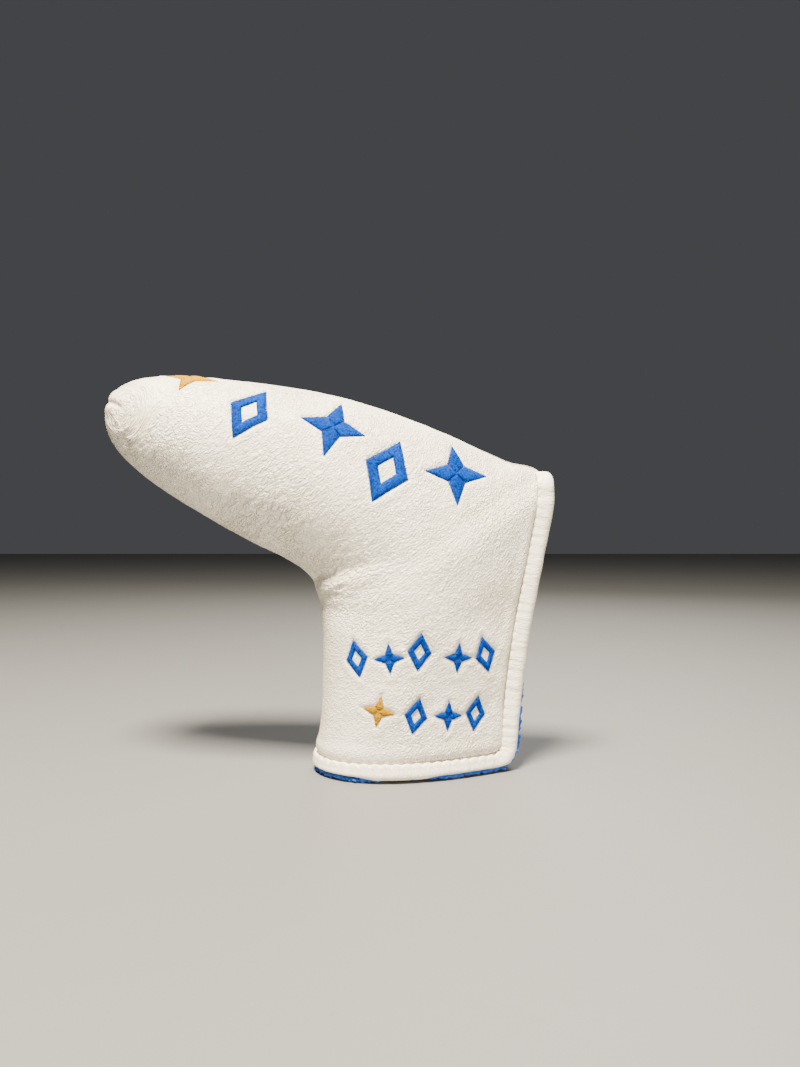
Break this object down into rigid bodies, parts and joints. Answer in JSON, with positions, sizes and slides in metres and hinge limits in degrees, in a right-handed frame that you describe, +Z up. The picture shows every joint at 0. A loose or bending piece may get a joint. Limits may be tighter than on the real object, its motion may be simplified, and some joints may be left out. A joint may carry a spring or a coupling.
{
  "type": "putter head cover",
  "caption": "L-shaped padded leather cover for a blade putter: a closed toe tube, and a leg that opens down its heel edge and stands on its bound hem.",
  "frame": {"origin": "on the ground below the middle of the cover's bounding box", "axes": "+X toward the heel opening, -X toward the toe, -Y toward the embroidered front, +Z up"},
  "size_m": [0.1594, 0.0454, 0.1408],
  "materials": {
    "leather": "white pebble-grained leather, satin",
    "binding": "white leather strip, rolled over the edge",
    "padding": "fibre wadding",
    "lining": "bright blue plush",
    "topstitch_thread": "off-white sewing thread",
    "blue_thread": "glossy satin stitch, blue",
    "gold_thread": "glossy satin stitch, gold",
    "magnet": "nickel-plated disc"
  },
  "bodies": {
    "cover": {"front_leather_body": "leather", "back_leather_body": "leather", "front_padding_body": "padding", "back_padding_body": "padding", "front_lining_body": "lining", "back_lining_body": "lining", "spine_binding": "binding", "heel_top_binding": "binding", "spine_topstitch": "topstitch_thread", "heel_top_topstitch": "topstitch_thread", "toe_star_gold": "gold_thread", "toe_lozenge_1": "blue_thread", "toe_star_1": "blue_thread", "toe_lozenge_2": "blue_thread", "toe_star_2": "blue_thread", "leg_lozenge_1": "blue_thread", "leg_star_1": "blue_thread", "leg_lozenge_2": "blue_thread", "leg_star_gold": "gold_thread"},
    "front_flap": {"front_flap_leather": "leather", "front_flap_padding": "padding", "front_flap_lining": "lining", "front_flap_binding": "binding", "front_flap_topstitch": "topstitch_thread", "front_magnet_1": "magnet", "front_magnet_2": "magnet", "front_magnet_3": "magnet", "leg_star_2": "blue_thread", "leg_lozenge_3": "blue_thread", "leg_lozenge_4": "blue_thread", "leg_star_3": "blue_thread", "leg_lozenge_5": "blue_thread"},
    "back_flap": {"back_flap_leather": "leather", "back_flap_padding": "padding", "back_flap_lining": "lining", "back_flap_binding": "binding", "back_flap_topstitch": "topstitch_thread", "back_magnet_1": "magnet", "back_magnet_2": "magnet", "back_magnet_3": "magnet"}
  },
  "joints": [
    {"name": "front_flap_bend", "type": "hinge", "parent": "cover", "child": "front_flap", "pos_m": [0.009, -0.022, 0], "axis": [-0.5597, -0.117, -0.8204], "range_deg": [0, 30], "stiffness_Nm_per_rad": 0.05, "springref_deg": -11.46},
    {"name": "back_flap_bend", "type": "hinge", "parent": "cover", "child": "back_flap", "pos_m": [0.009, 0.022, 0], "axis": [0.5597, -0.117, 0.8204], "range_deg": [0, 30], "stiffness_Nm_per_rad": 0.05, "springref_deg": -11.46}
  ]
}
